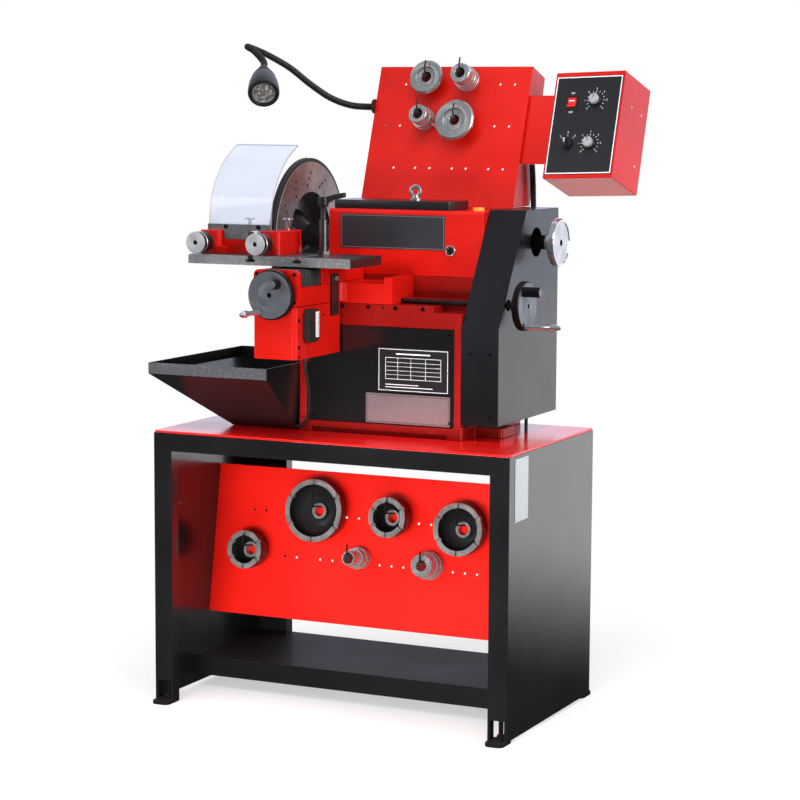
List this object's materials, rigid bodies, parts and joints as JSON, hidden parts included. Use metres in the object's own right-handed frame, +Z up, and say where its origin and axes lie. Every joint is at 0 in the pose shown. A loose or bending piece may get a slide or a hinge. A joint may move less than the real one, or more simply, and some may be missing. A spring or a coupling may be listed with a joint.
{
  "type": "brake lathe",
  "caption": "Bench brake lathe with a spindle for rotors, a sliding saddle with a twin cutter, a chip tray, adapter boards, a control box and a gooseneck lamp.",
  "frame": {"origin": "middle of the overall footprint, on the floor under the foot plates", "axes": "+Z up, -Y towards the operator, +X along the spindle from the rotor to the draw wheel"},
  "size_m": [0.992, 0.8534, 1.5522],
  "materials": {
    "red_paint": "glossy",
    "black_paint": "glossy",
    "grey_paint": "satin",
    "black_casting": "rough black coat, machined faces bare",
    "grey_iron": "ground face",
    "machined_steel": "turned",
    "zinc": "satin zinc plate",
    "chromed_steel": "polished",
    "aluminium": "sawn",
    "rubber": "matte",
    "black_plastic": "satin",
    "red_plastic": "glossy",
    "clear_sheet": "clear"
  },
  "bodies": {
    "bench": {"bench_frame": "black_paint", "bench_top": "red_paint", "bench_board": "red_paint", "bell_large": "black_casting", "bell_left": "black_casting", "bell_middle": "black_casting", "bell_right": "black_casting", "collar_left": "machined_steel", "collar_right": "machined_steel", "base_casting": "red_paint", "base_cover": "black_paint", "headstock": "red_paint", "headstock_cap": "black_paint", "spindle_bearings": "machined_steel", "motor": "grey_paint", "drive_belt": "rubber", "drive_cover": "black_paint", "chip_tray": "black_paint", "tool_board": "red_paint", "cone_high": "machined_steel", "collar_high": "machined_steel", "collar_low": "machined_steel", "cone_low": "machined_steel", "control_box": "red_paint", "supply_cable": "rubber", "feed_cable": "rubber", "lamp_arm": "black_paint"},
    "spindle_group": {"spindle": "machined_steel", "arbor": "machined_steel", "rotor": "grey_iron", "silencer_band": "rubber", "outer_bell": "black_casting"},
    "draw_wheel_group": {"draw_wheel": "zinc"},
    "motor_pulley_group": {"motor_pulley": "machined_steel"},
    "saddle_group": {"saddle": "red_paint", "feed_box": "red_paint", "limit_switch": "black_plastic", "bellows": "rubber"},
    "lead_screw_group": {"lead_screw": "black_paint"},
    "feed_handle_group": {"feed_handle": "chromed_steel"},
    "cross_screw_group": {"cross_screw": "black_paint"},
    "cross_handle_group": {"cross_handle": "chromed_steel"},
    "cross_slide_group": {"cross_slide": "red_paint", "trip_bar": "black_paint", "tool_plate": "black_casting", "cutter_body": "red_paint", "guard_bracket": "aluminium", "guard": "clear_sheet"},
    "clamp_lever_group": {"clamp_lever": "black_paint"},
    "left_bar_group": {"tool_bar_left": "machined_steel"},
    "right_bar_group": {"tool_bar_right": "machined_steel"},
    "left_micrometer_group": {"micrometer_left": "zinc"},
    "right_micrometer_group": {"micrometer_right": "zinc"},
    "arm_screw_group": {"arm_screw": "chromed_steel"},
    "body_screw_group": {"body_screw": "chromed_steel"},
    "lamp_head_group": {"lamp_head": "black_paint"},
    "rocker_group": {"rocker_switch": "red_plastic"},
    "speed_knob_group": {"speed_knob": "black_plastic"},
    "rate_knob_group": {"rate_knob": "black_plastic"},
    "selector_group": {"direction_selector": "black_plastic"}
  },
  "joints": [
    {"name": "spindle_spin", "type": "hinge", "parent": "bench", "child": "spindle_group", "pos_m": [-0.26597, 0.13359, 1.091], "axis": [1, 0, 0], "continuous": true},
    {"name": "draw_wheel_turn", "type": "hinge", "parent": "spindle_group", "child": "draw_wheel_group", "pos_m": [0.36003, 0.13359, 1.091], "axis": [1, 0, 0], "range_deg": [0, 720]},
    {"name": "motor_spin", "type": "hinge", "parent": "bench", "child": "motor_pulley_group", "pos_m": [0.26803, 0.11559, 0.783], "axis": [1, 0, 0], "continuous": true},
    {"name": "saddle_slide", "type": "slide", "parent": "bench", "child": "saddle_group", "axis": [1, 0, 0], "range_m": [0, 0.16], "deforming": ["feed_cable"]},
    {"name": "lead_screw_turn", "type": "hinge", "parent": "bench", "child": "lead_screw_group", "pos_m": [0.35003, -0.02941, 0.956], "axis": [1, 0, 0], "range_deg": [0, 11520]},
    {"name": "feed_handle_spin", "type": "hinge", "parent": "lead_screw_group", "child": "feed_handle_group", "pos_m": [0.36833, -0.05141, 0.912], "axis": [1, 0, 0], "continuous": true},
    {"name": "cross_slide_feed", "type": "slide", "parent": "saddle_group", "child": "cross_slide_group", "axis": [0, -1, 0], "range_m": [0, 0.076], "deforming": ["bellows"]},
    {"name": "cross_screw_turn", "type": "hinge", "parent": "saddle_group", "child": "cross_screw_group", "pos_m": [-0.12497, -0.33641, 0.983], "axis": [0, -1, 0], "range_deg": [0, 5472]},
    {"name": "cross_handle_spin", "type": "hinge", "parent": "cross_screw_group", "child": "cross_handle_group", "pos_m": [-0.14997, -0.33671, 0.945], "axis": [0, 1, 0], "continuous": true},
    {"name": "clamp_lever_turn", "type": "hinge", "parent": "cross_slide_group", "child": "clamp_lever_group", "pos_m": [-0.10997, -0.10441, 1.177], "axis": [0, 0, 1], "range_deg": [-60, 60]},
    {"name": "left_bar_feed", "type": "slide", "parent": "cross_slide_group", "child": "left_bar_group", "axis": [0, 1, 0], "range_m": [0, 0.07]},
    {"name": "right_bar_feed", "type": "slide", "parent": "cross_slide_group", "child": "right_bar_group", "axis": [0, 1, 0], "range_m": [0, 0.07]},
    {"name": "left_micrometer_turn", "type": "hinge", "parent": "cross_slide_group", "child": "left_micrometer_group", "pos_m": [-0.36197, -0.25441, 1.089], "axis": [0, 1, 0], "range_deg": [0, 5040]},
    {"name": "right_micrometer_turn", "type": "hinge", "parent": "cross_slide_group", "child": "right_micrometer_group", "pos_m": [-0.20697, -0.25441, 1.089], "axis": [0, 1, 0], "range_deg": [0, 5040]},
    {"name": "arm_screw_turn", "type": "hinge", "parent": "cross_slide_group", "child": "arm_screw_group", "pos_m": [-0.20697, -0.09441, 1.128], "axis": [0, 0, 1], "range_deg": [0, 180]},
    {"name": "body_screw_turn", "type": "hinge", "parent": "cross_slide_group", "child": "body_screw_group", "pos_m": [-0.30197, -0.10441, 1.128], "axis": [0, 0, 1], "range_deg": [0, 180]},
    {"name": "lamp_head_swivel", "type": "hinge", "parent": "bench", "child": "lamp_head_group", "pos_m": [-0.39897, 0.14059, 1.489], "axis": [0.4019, -0.7359, -0.5449], "range_deg": [-90, 90]},
    {"name": "rocker_tilt", "type": "hinge", "parent": "bench", "child": "rocker_group", "pos_m": [0.35326, 0.26787, 1.41043], "axis": [0.9945, -0.0987, 0.0344], "range_deg": [0, 12]},
    {"name": "speed_knob_turn", "type": "hinge", "parent": "bench", "child": "speed_knob_group", "pos_m": [0.41371, 0.26129, 1.41696], "axis": [-0.1045, -0.9392, 0.3271], "range_deg": [-135, 135]},
    {"name": "rate_knob_turn", "type": "hinge", "parent": "bench", "child": "rate_knob_group", "pos_m": [0.41272, 0.22685, 1.31776], "axis": [-0.1045, -0.9392, 0.3271], "range_deg": [-135, 135]},
    {"name": "selector_turn", "type": "hinge", "parent": "bench", "child": "selector_group", "pos_m": [0.35404, 0.23268, 1.31574], "axis": [-0.1045, -0.9392, 0.3271], "range_deg": [-45, 45]}
  ],
  "couplings": [
    {"joint": "motor_spin", "follows": "spindle_spin", "ratio": 1.9333},
    {"joint": "lead_screw_turn", "follows": "saddle_slide", "rad_per_m": 1256.6},
    {"joint": "cross_screw_turn", "follows": "cross_slide_feed", "rad_per_m": 1256.6},
    {"joint": "left_micrometer_turn", "follows": "left_bar_feed", "rad_per_m": 1256.6},
    {"joint": "right_micrometer_turn", "follows": "right_bar_feed", "rad_per_m": 1256.6}
  ]
}
